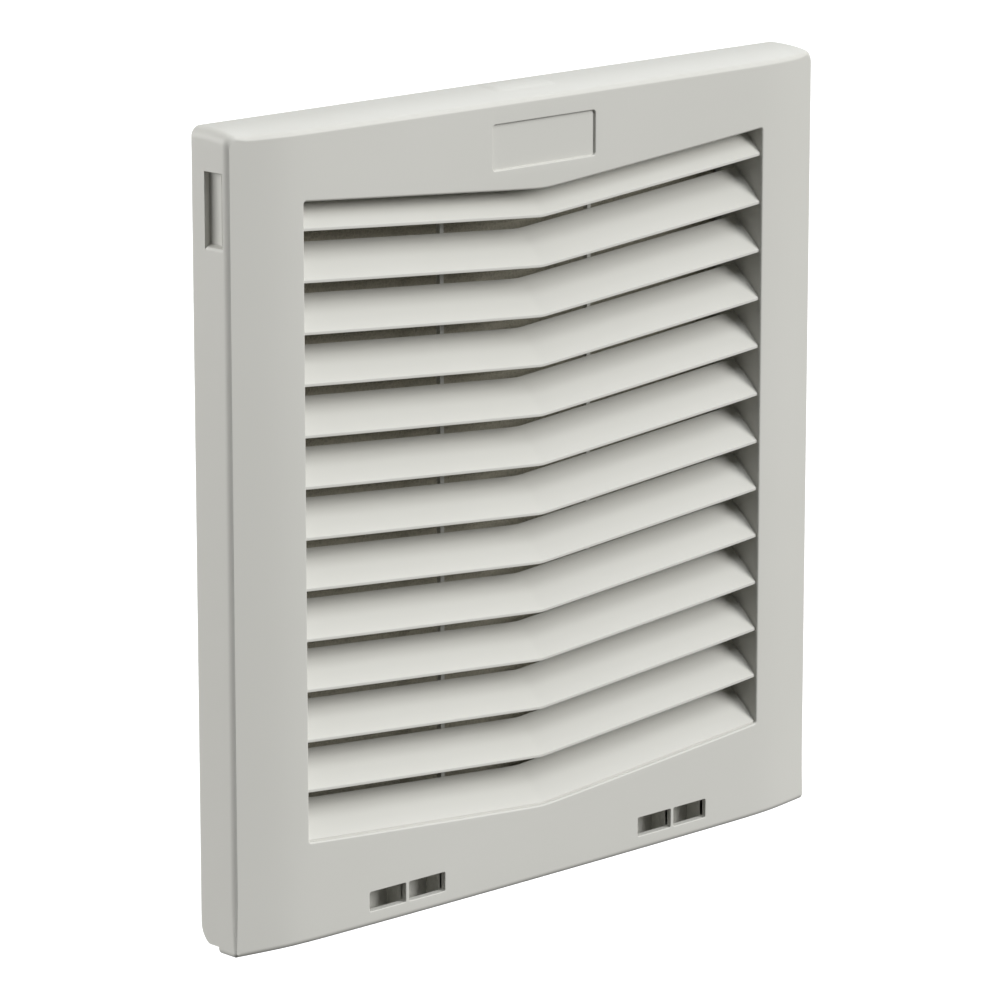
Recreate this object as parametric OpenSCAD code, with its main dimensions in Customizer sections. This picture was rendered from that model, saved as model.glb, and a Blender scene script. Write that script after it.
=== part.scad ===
// Exhaust filter grille for a square panel cut-out.
// A hinged louvre cover over a snap-in base frame that holds a filter mat.
// Frame: X to the right, Y back into the panel (the front faces -Y), Z up.
// Origin: centre of the cut-out, in the plane of the panel's outer face.
// All lengths in millimetres.

/* [Cover] */
// Width of the cover, and height of its rear edge
cover_w = 255; // [254:0.5:256]
// Depth from the cover's rear edge to its front corners
side_depth = 16.9; // [16.5:0.1:17.3]
// Bulge of the front over its whole width
crown = 1.2; // [1:0.05:1.3]
// Slope of the front's two side margins
margin_slope = 0.175; // [0.165:0.005:0.18]
// Distance from the middle to the soft bend where the margins begin
bend_x = 107.5; // [106:0.5:109]
// Wall thickness of the cover's sides
side_wall = 2.2; // [1.8:0.1:2.3]
// Wall thickness of the cover's front
front_wall = 2.5; // [2:0.1:2.6]
// Corner radius of the cover's rear part, seen from the front
corner_r = 3.5; // [2:0.5:4]

/* [Louvres] */
// Distance from one louvre to the next
louvre_pitch = 16; // [15.8:0.1:16.1]
// Number of louvres, the one that runs into the sill included
louvre_n = 13; // [13:1:13]
// Height of the top louvre's tip at the middle of the chevron
louvre_z0 = 86.7; // [86.4:0.1:86.8]
// Rise of the chevron per millimetre towards the sides
chevron = 0.0795; // [0.075:0.0005:0.082]
// Half width of the louvre opening
open_hw = 100; // [99:0.5:100]
// Thickness of the two upright ribs behind the louvres
rib_t = 1.6; // [1.2:0.1:1.8]
// Distance of the two upright ribs from the middle
rib_x = 32.3; // [31.5:0.1:33]

/* [Base] */
// Half width of the part that goes through the panel, for a 224 mm cut-out
spigot_hw = 111.7; // [111.5:0.1:111.8]
// How far the base reaches behind the panel's outer face
spigot_depth = 16; // [15:0.5:16]
// Half width of the base flange
flange_hw = 124.7; // [124:0.1:124.7]
// Radius of the four fixing holes in the flange
fix_hole_r = 2.15; // [2:0.05:2.25]
// Half spacing of the fixing holes across the width
fix_x = 120.4; // [120:0.1:120.6]
// Half spacing of the fixing holes up the height
fix_z = 80; // [78:1:82]

/* [Filter] */
// Half width of the filter mat
mat_hw = 102.3; // [101:0.1:102.4]
// Half height of the filter mat
mat_hh = 105.6; // [104:0.1:105.7]
// Thickness of the filter mat
mat_t = 14.5; // [12:0.5:14.5]

/* [Hinge] */
// Radius of the steel hinge pins
pin_r = 1.5; // [1.5:0.1:1.5]
// Running clearance on the radius between the cover's knuckles and the pins
pin_gap = 0.075; // [0.03:0.005:0.09]

/* [Clips] */
// How far a snap clip's nose stands out past the cut-out edge
nose_out = 3; // [2.5:0.1:3]
// Half height of a snap clip
clip_hh = 9; // [8:0.5:9]
// Height of the upper and lower clips above and below the middle
clip_z = 62; // [60:1:64]

/* [Hidden] */
$fn = 48;

hw = cover_w / 2;
rear_y = -1.5;                       // rear edge of the cover, rear face of the base flange
edge_y = rear_y - side_depth;        // front corners of the cover
face_bot = -129.8;                   // bottom of the front lip
rear_top = 127.6;                    // top of the cover's rear edge
rear_bot = -127.5;                   // bottom of the side walls behind the lip
lip_y = -10;                         // rear end of the front lip
hinge_y = -8.5;                      // hinge axis of the cover
hinge_z = -121.5;
hinge_round = 7;                     // rounding of the side walls about the hinge axis
inner_y = -3.6;                      // rear end of the walls and louvres inside the cover
flange_bot = -122.3;
flange_top = 123.8;
flange_front = -4.5;
light_grey = [0.78, 0.78, 0.75];
dark_grey = [0.28, 0.28, 0.28];
steel = [0.70, 0.71, 0.72];

// Front surface of the face, as Y for a given X: a slight bulge with sloping side margins
function bend(x) = let (d = abs(x) - bend_x) (d + sqrt(d * d + 64)) / 2;
function face_y(x) = edge_y - crown * (1 - pow(x / hw, 2)) - margin_slope * (bend(hw) - bend(x));
// Height of louvre k's tip at a given X
function tip_z(x, k) = louvre_z0 - k * louvre_pitch + chevron * abs(x);
function tip_y(x) = face_y(x) + 1;
front_y = face_y(0);

// Extrudes a (Y, Z) outline along X, from x0 to x1
module along_x(x0, x1) {
    translate([x0, 0, 0]) rotate([90, 0, 90]) linear_extrude(x1 - x0) children();
}
// Extrudes an (X, Z) outline along Y, from y0 to y1
module along_y(y0, y1) {
    translate([0, y1, 0]) rotate([90, 0, 0]) linear_extrude(y1 - y0) children();
}
module box(x0, x1, y0, y1, z0, z1) {
    translate([x0, y0, z0]) cube([x1 - x0, y1 - y0, z1 - z0]);
}
// A box given on one side (s = -1 left, 1 right) by distances from the middle
module side_box(s, a0, a1, y0, y1, z0, z1) {
    box(s < 0 ? -a1 : a0, s < 0 ? -a0 : a1, y0, y1, z0, z1);
}

// ---------------------------------------------------------------- louvre cover

// Plan outline of the cover (X, Y), set in by t at the sides and tf at the front
function arc_pts(cx, cy, r, a0, a1, n) = [for (i = [0:n]) let (a = a0 + (a1 - a0) * i / n) [cx + r * cos(a), cy + r * sin(a)]];
face_xs = [118.5, 114, 110, 106, 102, 96, 85, 60, 30, 0];
module cover_plan(t, tf, r) {
    n = len(face_xs);
    w = hw - t;
    cy = face_y(w - r * (1 - cos(45))) + tf + r * sin(45);
    polygon(concat(
        [[w, rear_y + 30], [-w, rear_y + 30]],
        arc_pts(-w + r, cy, r, 180, 225, 4),
        [for (i = [0:n - 1]) [-face_xs[i], face_y(face_xs[i]) + tf]],
        [for (i = [n - 2:-1:0]) [face_xs[i], face_y(face_xs[i]) + tf]],
        arc_pts(w - r, cy, r, 315, 360, 4)));
}
// Side outline of the cover (Y, Z)
module cover_side() {
    polygon(concat(
        [[rear_y, rear_top], [-8, rear_top - 0.1], [-14, rear_top - 0.5], [edge_y, rear_top - 1.1],
         [front_y - 0.2, rear_top - 2.5], [front_y - 0.2, face_bot], [lip_y, face_bot], [lip_y, rear_bot]],
        [for (i = [0:6]) let (a0 = -asin((hinge_z - rear_bot) / hinge_round), a = a0 * (1 - i / 6))
            [hinge_y + hinge_round * cos(a), hinge_z + hinge_round * sin(a)]]));
}
// Front outline of the cover (X, Z) with rounded corners
module cover_front(h0, h1, w, r) {
    polygon(concat(
        arc_pts(w - r, h1 - r, r, 0, 90, 4), arc_pts(-w + r, h1 - r, r, 90, 180, 4),
        arc_pts(-w + r, h0 + r, r, 180, 270, 4), arc_pts(w - r, h0 + r, r, 270, 360, 4)));
}
// The louvre opening (X, Z), with the chevron in its top and bottom edges, grown by g
module opening(g) {
    w = open_hw + g;
    polygon([[-w, 103.7 + g], [0, 96 + g], [w, 103.7 + g], [w, -96.9 - g], [0, -104.9 - g], [-w, -96.9 - g]]);
}
// One louvre: a curved blade section (Y, Z) carried along the chevron and the bulge
blade = [[0, 0], [0, 1.0], [2.4, 3.4], [5, 5.9], [7.8, 8.4], [11.4, 11.1],
    [12.3, 9.6], [8.9, 7.0], [6.2, 4.5], [1.5, 0]];
stations = [-open_hw - 0.7, -66, -33, 0, 33, 66, open_hw + 0.7];
module louvre(k) {
    n = len(blade);
    m = len(stations);
    pts = [for (x = stations) for (p = blade) [x, tip_y(x) + p[0], tip_z(x, k) + p[1]]];
    // the end caps are quads, each between the blade's upper and lower side
    cap = concat([[0, 1, 2, n - 1]], [for (i = [1:3]) [n - i, i + 1, i + 2, n - 1 - i]]);
    faces = concat(
        [for (c = cap) [for (j = [3:-1:0]) c[j]]],
        [for (c = cap) [for (j = [0:3]) (m - 1) * n + c[j]]],
        [for (i = [0:m - 2]) for (j = [0:n - 1]) [i * n + j, (i + 1) * n + (j + 1) % n, (i + 1) * n + j]],
        [for (i = [0:m - 2]) for (j = [0:n - 1]) [i * n + j, i * n + (j + 1) % n, (i + 1) * n + (j + 1) % n]]);
    polyhedron(pts, faces, convexity = 4);
}
// Window w of a pair: distances from the middle
win = [[43.4, 58.8], [60.2, 75.4]];
win_z = [-124.8, -118.5];

module cover_shell() {
    difference() {
        intersection() {
            translate([0, 0, -140]) linear_extrude(280) cover_plan(0, 0, 3.3);
            along_x(-hw, hw) cover_side();
            union() {
                along_y(-30, lip_y) cover_front(face_bot, rear_top + 1, hw, 1.6);
                along_y(lip_y - 0.01, 0) cover_front(rear_bot - 2, rear_top, hw, corner_r);
            }
        }
        // inside of the shell
        intersection() {
            translate([0, 0, -140]) linear_extrude(280) cover_plan(side_wall, front_wall, 1);
            along_x(-hw, hw) polygon([[3, rear_top - 2.4], [-8, rear_top - 2.5], [-14, rear_top - 2.9],
                [edge_y, rear_top - 3.6], [front_y, rear_top - 5], [-40, rear_top - 5], [-40, face_bot + 2],
                [lip_y + 0.01, face_bot + 2], [lip_y + 0.01, -140], [3, -140]]);
        }
        // louvre opening
        along_y(-40, 5) opening(0);
        // name-plate recess, bare
        intersection() {
            box(-22.3, 22.3, -40, 0, 104, 118.4);
            difference() {
                translate([0, 0, 90]) linear_extrude(40) cover_plan(0, -1, 2.5);
                translate([0, 0, 90]) linear_extrude(40) cover_plan(0, 0.8, 2.5);
            }
        }
        // hinge windows
        for (s = [-1, 1]) for (w = win) side_box(s, w[0], w[1], -40, -15, win_z[0], win_z[1]);
        // latch slots in the side walls
        for (s = [-1, 1]) side_box(s, hw - 4, hw + 1, -15.9, -7.9, 91, 114.5);
    }
    // low grip pad on the top edge
    intersection() {
        translate([0, 0, 120]) linear_extrude(12) polygon([[-13, -15], [-11, -3.5], [11, -3.5], [13, -15]]);
        along_x(-20, 20) polygon([[-3.5, rear_top - 1], [-3.5, rear_top + 0.35], [-10, rear_top + 0.3], [-15, rear_top - 0.2], [-15, rear_top - 2]]);
    }
}
module louvre_cover() {
    color(light_grey) difference() {
        union() {
            cover_shell();
            // walls around the opening
            intersection() {
                translate([0, 0, -140]) linear_extrude(280) cover_plan(side_wall - 1, 1.2, 1);
                difference() {
                    along_y(-26, inner_y) opening(2.4);
                    along_y(-27, 0) opening(0);
                }
            }
            // louvres and the upright ribs behind them
            difference() {
                union() {
                    for (k = [0:louvre_n - 1]) louvre(k);
                    for (s = [-1, 1]) side_box(s, rib_x - rib_t / 2, rib_x + rib_t / 2, -10.3, -8.6, -103.4, 99.6);
                }
                box(-120, 120, inner_y, 5, -120, 120);
            }
            // stiffening ribs between the outer walls and the opening
            for (s = [-1, 1]) for (z = [-60, 0, 60]) side_box(s, open_hw + 1, hw - 1, edge_y + 1.8, -8, z - 0.8, z + 0.8);
            for (x = [-33, 33]) box(x - 0.8, x + 0.8, -21.5, -8, 99.5, 123.5);
            for (s = [-1, 1]) {
                // catch that the side latch holds
                side_box(s, hw - side_wall - 2, hw - 1, -6.7, -5.2, 93, 112);
                // pockets behind the hinge windows, floored by the lip
                for (a = [42, 58.8, 75.4]) side_box(s, a, a + 1.4, -21.5, -12.9, -128.2, -117);
                side_box(s, 42, 76.8, -21.5, -12.9, win_z[1], -117);
                side_box(s, 42, 76.8, -14.1, -12.9, -128.2, -117);
                // block and webs that carry the knuckle
                side_box(s, 49, 70, -17, -8, win_z[1] - 0.1, -117.1);
                for (a = [49, 58.8, 68.6]) side_box(s, a, a + 1.4, -13.5, hinge_y - 2, hinge_z - 3.3, hinge_z + 3.3);
                // knuckle
                translate([s * 59.5 - 10.5, hinge_y, hinge_z]) rotate([0, 90, 0]) cylinder(r = 3.5, h = 21);
            }
        }
        for (s = [-1, 1]) translate([s * 59.5 - 12, hinge_y, hinge_z]) rotate([0, 90, 0]) cylinder(r = pin_r + pin_gap, h = 24);
    }
}

// ------------------------------------------------------------------ base frame

module rect_ring(w1, h1, w0, h0) {
    difference() {
        square([2 * w1, 2 * h1], center = true);
        square([2 * w0, 2 * h0], center = true);
    }
}
clip_slot_hh = clip_hh + 0.6;
clip_py = 14;                       // pivot of the snap clips
clip_px = 108;
clip_pr = 1;
module base_frame() {
    color(light_grey) difference() {
        union() {
            // flange
            along_y(flange_front, rear_y) difference() {
                polygon([[-flange_hw, flange_bot], [flange_hw, flange_bot], [flange_hw, flange_top], [-flange_hw, flange_top]]);
                square([2 * 109.5, 2 * 109.5], center = true);
            }
            // spigot through the cut-out
            along_y(flange_front, spigot_depth) rect_ring(spigot_hw, spigot_hw, 109.5, 109.5);
            // ledge that carries the basket
            along_y(-1.4, 0.6) rect_ring(110.5, 110.5, 105, 108);
            for (s = [-1, 1]) for (z = [-36, 36]) side_box(s, 105, 110.5, 0, 7, z - 2.6, z + 2.6);
            // ears for the hinge pins
            for (s = [-1, 1]) for (a = [45, 71]) {
                translate([s * (a + 1.5) - 1.5, hinge_y, hinge_z]) rotate([0, 90, 0]) cylinder(r = 3.5, h = 3);
                side_box(s, a, a + 3, hinge_y, flange_front + 0.5, hinge_z - 3.2, hinge_z + 3.4);
                side_box(s, a, a + 3, -7, flange_front + 0.5, hinge_z, -113);
            }
            // guides and spring seat of the side latches
            for (s = [-1, 1]) {
                side_box(s, 106.8, 118.5, -14.6, flange_front + 0.5, 93, 95.6);
                side_box(s, 106.8, 118.5, -14.6, flange_front + 0.5, 110.4, 113);
                side_box(s, 106.8, 108.4, -14.6, flange_front + 0.5, 94, 112);
            }
            // brackets of the snap clips
            for (s = [-1, 1]) for (z = [-clip_z, clip_z]) for (e = [-1, 1])
                side_box(s, 105.6, 110.5, 11, spigot_depth, z + e * (clip_slot_hh + 1) - 1, z + e * (clip_slot_hh + 1) + 1);
        }
        // slots of the snap clips, open at the rear
        for (s = [-1, 1]) for (z = [-clip_z, clip_z])
            side_box(s, 108.6, 113, 1, spigot_depth + 1, z - clip_slot_hh, z + clip_slot_hh);
        // gasket groove
        along_y(-3, 0) rect_ring(117.6, 117.6, 112.6, 112.6);
        // fixing holes
        for (x = [-fix_x, fix_x]) for (z = [-fix_z, fix_z])
            translate([x, 1, z]) rotate([90, 0, 0]) cylinder(r = fix_hole_r, h = 8);
        // pin bores of the hinge
        for (s = [-1, 1]) translate([s * 59.5 - 16, hinge_y, hinge_z]) rotate([0, 90, 0]) cylinder(r = pin_r, h = 32);
        // pin bores of the snap clips
        for (s = [-1, 1]) for (z = [-clip_z, clip_z])
            translate([s * clip_px, clip_py, z - clip_slot_hh - 1.6]) cylinder(r = clip_pr, h = 2 * clip_slot_hh + 3.2);
        // pilot holes of the basket screws and keeper screws
        for (s = [-1, 1]) for (z = [-36, 36]) translate([s * 107.4, 6, z]) rotate([90, 0, 0]) cylinder(r = 1.1, h = 8);
        for (s = [-1, 1]) for (z = [94.3, 111.7]) translate([s * 113.5, -6, z]) rotate([90, 0, 0]) cylinder(r = 0.9, h = 10);
    }
}

// ------------------------------------------------------- basket, mat and gasket

wire_y = -0.6;                       // retaining wires of the mat
wire_z = [-53.5, 58.5];            // between the gaps of the louvres
module guard_basket() {
    color(light_grey) difference() {
        union() {
            along_y(-3, rear_y) rect_ring(109, 109, 102.7, 106);
            along_y(-2.9, spigot_depth + 1.6) rect_ring(104.2, 107.4, 102.7, 106);
            along_y(spigot_depth - 0.4, spigot_depth + 1.6) difference() {
                square([207, 213], center = true);
                for (i = [0:15]) for (j = [0:3])
                    translate([-96.75 + i * 12.9, -80.25 + j * 53.5]) square([10.7, 49.5], center = true);
            }
        }
        for (s = [-1, 1]) for (z = [-36, 36]) translate([s * 107.4, 1, z]) rotate([90, 0, 0]) cylinder(r = 1.3, h = 8);
        for (z = wire_z) translate([-108, wire_y, z]) rotate([0, 90, 0]) cylinder(r = 0.85, h = 216);
    }
}
// Small pan-head screw along +Y, head at the front
module screw(x, y, z, r, head_r, len) {
    translate([x, y, z]) rotate([-90, 0, 0]) {
        cylinder(r = r, h = len);
        translate([0, 0, -1.3]) difference() {
            cylinder(r = head_r, h = 1.3);
            for (a = [0, 90]) rotate([0, 0, a]) translate([-head_r * 0.62, -0.25, -1]) cube([head_r * 1.24, 0.5, 1.8]);
        }
    }
}
module basket_screws() {
    color(steel) for (s = [-1, 1]) for (z = [-36, 36]) screw(s * 107.4, -3.02, z, 1.08, 1.5, 8);
}
module filter_mat() {
    color([0.80, 0.80, 0.76]) box(-mat_hw, mat_hw, 0.4, 0.4 + mat_t, -mat_hh, mat_hh);
}
module mat_retaining_wires() {
    color(steel) for (z = wire_z) translate([-104.1, wire_y, z]) rotate([0, 90, 0]) cylinder(r = 0.8, h = 208.2, $fn = 24);
}
module panel_gasket() {
    color([0.15, 0.15, 0.15]) along_y(-3, 0) rect_ring(117.4, 117.4, 112.8, 112.8);
}

// -------------------------------------------------------- hinge pins and latches

module hinge_pin(s) {
    color(steel) translate([s * 59.5, hinge_y, hinge_z]) rotate([0, s * 90, 0]) {
        translate([0, 0, -15.5]) cylinder(r = pin_r, h = 31.2);
        translate([0, 0, 14.6]) cylinder(r = 2.5, h = 1.1);
    }
}
module hinge_pin_left() { hinge_pin(-1); }
module hinge_pin_right() { hinge_pin(1); }

module side_latch(s) {
    color(light_grey) {
        // thumb plate seen in the slot, with a closing ramp along its front edge
        translate([0, 0, 90]) linear_extrude(25.5)
            polygon([for (p = [[122, -15.6], [122.7, -15.6], [124.5, -13.2], [124.5, -7], [122, -7]]) [s * p[0], p[1]]]);
        // stem that slides between the guides
        side_box(s, 114, 122.1, -14, -5.2, 96, 110);
    }
}
module side_latch_left() { side_latch(-1); }
module side_latch_right() { side_latch(1); }

// A coil spring along Z from z = 0: n turns, each turn a ring with a short link to the next
module coil(n, pitch, r, wire) {
    for (i = [0:n - 1]) translate([0, 0, wire + i * pitch]) rotate_extrude() translate([r, 0]) circle(r = wire);
    for (i = [0:n - 2]) translate([i % 2 == 0 ? r : -r, 0, wire + i * pitch]) cylinder(r = wire * 0.6, h = pitch);
}
// Coil spring between its seat in the base and the latch stem
module latch_spring(s) {
    color(steel) translate([s * 108.5, -9.6, 103]) rotate([0, s * 90, 0]) coil(5, 1.16, 2.2, 0.35);
}
module latch_spring_left() { latch_spring(-1); }
module latch_spring_right() { latch_spring(1); }

module latch_keeper(s) {
    color(light_grey) difference() {
        side_box(s, 107, 118.4, -15.8, -14.7, 93, 113);
        for (z = [94.3, 111.7]) translate([s * 113.5, -14, z]) rotate([90, 0, 0]) cylinder(r = 1.05, h = 3);
        side_box(s, 111, 117, -17, -14, 99, 107);
    }
}
module latch_keeper_left() { latch_keeper(-1); }
module latch_keeper_right() { latch_keeper(1); }
module keeper_screws() {
    color(steel) for (s = [-1, 1]) for (z = [94.3, 111.7])
        translate([s * 113.5, -15.85, z]) rotate([-90, 0, 0]) {
            cylinder(r = 0.88, h = 7);
            translate([0, 0, -0.45]) cylinder(r = 1.5, h = 0.45);
        }
}

// ------------------------------------------------------------------- snap clips

// Lever with a wedge nose that catches behind the panel, turning on an upright pin
module snap_clip(s, z) {
    nx = 112 + nose_out;
    color(dark_grey) difference() {
        union() {
            translate([0, 0, z - clip_hh]) linear_extrude(2 * clip_hh)
                polygon([for (p = [[nx, 2.6], [nx - 0.2, 3.6], [110.4, 13.2], [109.6, 15.2], [106.6, 15.2], [106.3, 12.6],
                    [108.9, 9], [110.6, 4.4], [110.6, 2.6]]) [s * p[0], p[1]]]);
            translate([s * clip_px, clip_py, z - clip_hh]) cylinder(r = 1.9, h = 2 * clip_hh);
        }
        translate([s * clip_px, clip_py, z - clip_hh - 1]) cylinder(r = clip_pr + 0.06, h = 2 * clip_hh + 2);
        // room for the coil spring around the pin
        side_box(s, 105, 111, 11.4, 17, z - 3, z + 3);
    }
}
module snap_clip_upper_left() { snap_clip(-1, clip_z); }
module snap_clip_lower_left() { snap_clip(-1, -clip_z); }
module snap_clip_upper_right() { snap_clip(1, clip_z); }
module snap_clip_lower_right() { snap_clip(1, -clip_z); }

module clip_pins() {
    color(steel) for (s = [-1, 1]) for (z = [-clip_z, clip_z])
        translate([s * clip_px, clip_py, z - clip_slot_hh - 1.6]) cylinder(r = clip_pr, h = 2 * clip_slot_hh + 3.2);
}
module clip_springs() {
    color(steel) for (s = [-1, 1]) for (z = [-clip_z, clip_z])
        translate([s * clip_px, clip_py, z - 2.1]) coil(4, 1.15, 1.6, 0.35);
}

louvre_cover();
base_frame();
guard_basket();
basket_screws();
filter_mat();
mat_retaining_wires();
panel_gasket();
hinge_pin_left();
hinge_pin_right();
side_latch_left();
side_latch_right();
latch_spring_left();
latch_spring_right();
latch_keeper_left();
latch_keeper_right();
keeper_screws();
snap_clip_upper_left();
snap_clip_lower_left();
snap_clip_upper_right();
snap_clip_lower_right();
clip_pins();
clip_springs();
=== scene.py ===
import bpy, bmesh, math, random
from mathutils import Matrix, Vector
from mathutils.geometry import delaunay_2d_cdt


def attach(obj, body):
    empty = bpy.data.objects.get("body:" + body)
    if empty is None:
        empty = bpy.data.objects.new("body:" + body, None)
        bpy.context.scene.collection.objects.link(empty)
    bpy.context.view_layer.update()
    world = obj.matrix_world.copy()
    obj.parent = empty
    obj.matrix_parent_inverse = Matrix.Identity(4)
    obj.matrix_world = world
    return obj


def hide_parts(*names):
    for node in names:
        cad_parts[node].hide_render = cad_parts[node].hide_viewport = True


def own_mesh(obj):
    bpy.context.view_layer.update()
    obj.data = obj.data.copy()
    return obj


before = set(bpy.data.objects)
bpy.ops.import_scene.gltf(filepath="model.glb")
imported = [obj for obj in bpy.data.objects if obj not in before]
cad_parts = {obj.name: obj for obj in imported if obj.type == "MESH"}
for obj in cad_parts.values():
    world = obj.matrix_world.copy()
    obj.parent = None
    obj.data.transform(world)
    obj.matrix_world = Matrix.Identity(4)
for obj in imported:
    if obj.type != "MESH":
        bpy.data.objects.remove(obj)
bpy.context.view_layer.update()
random.seed(7)

# ---------------------------------------------------------------- dimensions, mm
HW = 127.5          # half width of the cover
REAR = -1.5         # rear edge of the cover
EDGE = -18.4        # front corners
TOP = 127.6
BOT = -129.8
RBOT = -127.5       # bottom of the side walls behind the lip
LIP = -10.0
HY, HZ = -8.5, -121.5
TS, TF, TT, TB = 2.2, 2.5, 2.4, 2.0     # walls: side, front, top, bottom lip
OHW = 100.0         # half width of the louvre opening
PITCH, NL, Z0, CHEV = 16.0, 13, 86.7, 0.0795
INNER = -3.6


def bend(x):
    d = abs(x) - 107.5
    return (d + math.sqrt(d * d + 64)) / 2


def face(x):
    return EDGE - 1.2 * (1 - (x / HW) ** 2) - 0.175 * (bend(HW) - bend(x))


def vee(x, r=3.0):
    return CHEV * (math.sqrt(x * x + r * r) - r)


def drop(x, y):
    t = (REAR - y) / (REAR - face(x))
    k = min(max((abs(x) - 119.0) / 8.5, 0.0), 1.0)
    return (2.5 - 1.2 * k * k * (3 - 2 * k)) * min(max(t, 0.0), 1.03) ** 3


def lerp(a, b, t):
    return a + (b - a) * t


# ---------------------------------------------------------------- mesh helper
class Mesh:
    def __init__(self):
        self.v, self.f = [], []

    def add(self, pts):
        n = len(self.v)
        self.v += [tuple(p) for p in pts]
        return list(range(n, n + len(pts)))

    def strip(self, a, b, closed=True, flip=False):
        n = len(a)
        for i in range(n if closed else n - 1):
            j = (i + 1) % n
            q = (a[i], a[j], b[j], b[i])
            self.f.append(q[::-1] if flip else q)

    def loops(self, rings, closed=True, flip=False):
        ids = [self.add(r) for r in rings]
        for a, b in zip(ids, ids[1:]):
            self.strip(a, b, closed, flip)
        return ids

    def fill(self, outer, holes, put, flip=False, dx=4.0, dz=9.0, gap=1.2):
        """Triangulates the region between 2-D loops and places each point by put(u, v)."""
        pts, edges = [], []
        for loop in [outer] + holes:
            n = len(pts)
            pts += [Vector(p) for p in loop]
            edges += [(n + i, n + (i + 1) % len(loop)) for i in range(len(loop))]
        segs = [(pts[a], pts[b]) for a, b in edges]
        x0, x1 = min(p.x for p in pts), max(p.x for p in pts)
        z0, z1 = min(p.y for p in pts), max(p.y for p in pts)
        loopsets = [outer] + holes
        if dx:
            nx, nz = max(1, round((x1 - x0) / dx)), max(1, round((z1 - z0) / dz))
            for i in range(1, nx):
                for j in range(1, nz):
                    p = Vector((lerp(x0, x1, i / nx), lerp(z0, z1, j / nz)))
                    if inside(p, loopsets) and all(seg_far(p, a, b, gap) for a, b in segs):
                        pts.append(p)
        out = delaunay_2d_cdt(pts, edges, [], 0, 1e-7)
        vs, fs = out[0], out[2]
        ids = self.add([put(p.x, p.y) for p in vs])
        for t in fs:
            c = (vs[t[0]] + vs[t[1]] + vs[t[2]]) / 3
            if inside(c, loopsets):
                q = tuple(ids[k] for k in t)
                self.f.append(q[::-1] if flip else q)

    def box(self, x0, x1, y0, y1, z0, z1):
        p = [(x, y, z) for x in (x0, x1) for y in (y0, y1) for z in (z0, z1)]
        i = self.add(p)
        for q in ((0, 1, 3, 2), (4, 6, 7, 5), (0, 4, 5, 1), (2, 3, 7, 6), (0, 2, 6, 4), (1, 5, 7, 3)):
            self.f.append(tuple(i[k] for k in q))

    def obj(self, name, angle=30, weld=0.004, weighted=True):
        me = bpy.data.meshes.new(name)
        me.from_pydata([(x / 1000, y / 1000, z / 1000) for x, y, z in self.v], [], self.f)
        bm = bmesh.new()
        bm.from_mesh(me)
        bmesh.ops.remove_doubles(bm, verts=bm.verts, dist=weld / 1000)
        bmesh.ops.dissolve_degenerate(bm, edges=bm.edges, dist=1e-6)
        loose = [v for v in bm.verts if not v.link_faces]
        bmesh.ops.delete(bm, geom=loose, context="VERTS")
        bmesh.ops.recalc_face_normals(bm, faces=bm.faces)
        for f in bm.faces:
            f.smooth = True
        for e in bm.edges:
            e.smooth = e.calc_face_angle(0.0) < math.radians(angle)
        bm.to_mesh(me)
        bm.free()
        o = bpy.data.objects.new(name, me)
        bpy.context.scene.collection.objects.link(o)
        if weighted:
            w = o.modifiers.new("weighted", "WEIGHTED_NORMAL")
            w.keep_sharp = True
            w.weight = 60
        return o


def inside(p, loops):
    n = 0
    for loop in loops:
        m = len(loop)
        for i in range(m):
            (ax, ay), (bx, by) = loop[i][:2], loop[(i + 1) % m][:2]
            if (ay > p[1]) != (by > p[1]) and p[0] < (bx - ax) * (p[1] - ay) / (by - ay) + ax:
                n += 1
    return n % 2 == 1


def seg_far(p, a, b, gap):
    d = b - a
    l2 = d.length_squared
    t = max(0.0, min(1.0, (p - a).dot(d) / l2)) if l2 else 0.0
    return (p - (a + d * t)).length > gap


def offset(loop, d):
    """Moves a closed counter-clockwise 2-D loop outward by d."""
    out = []
    n = len(loop)
    for i in range(n):
        a, b, c = Vector(loop[i - 1]), Vector(loop[i]), Vector(loop[(i + 1) % n])
        e, g = (b - a).normalized(), (c - b).normalized()
        n1, n2 = Vector((e.y, -e.x)), Vector((g.y, -g.x))
        m = n1 + n2
        m = m / max(m.length_squared, 1e-9) * 2
        out.append(tuple(b + m * d))
    return out


def rounded(loop, r, n=4):
    """Rounds the corners of a closed counter-clockwise polygon."""
    out = []
    m = len(loop)
    for i in range(m):
        a, b, c = Vector(loop[i - 1]), Vector(loop[i]), Vector(loop[(i + 1) % m])
        e, g = (a - b).normalized(), (c - b).normalized()
        ang = e.angle(g)
        d = r / math.tan(ang / 2)
        p, q = b + e * d, b + g * d
        o = b + (e + g).normalized() * (r / math.sin(ang / 2))
        for k in range(n + 1):
            u = (p - o).lerp(q - o, k / n).normalized() * r
            out.append(tuple(o + u))
    return out


def densify(loop, step):
    out = []
    m = len(loop)
    for i in range(m):
        a, b = Vector(loop[i]), Vector(loop[(i + 1) % m])
        k = max(1, round((b - a).length / step))
        out += [tuple(a.lerp(b, j / k)) for j in range(k)]
    return out


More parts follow.
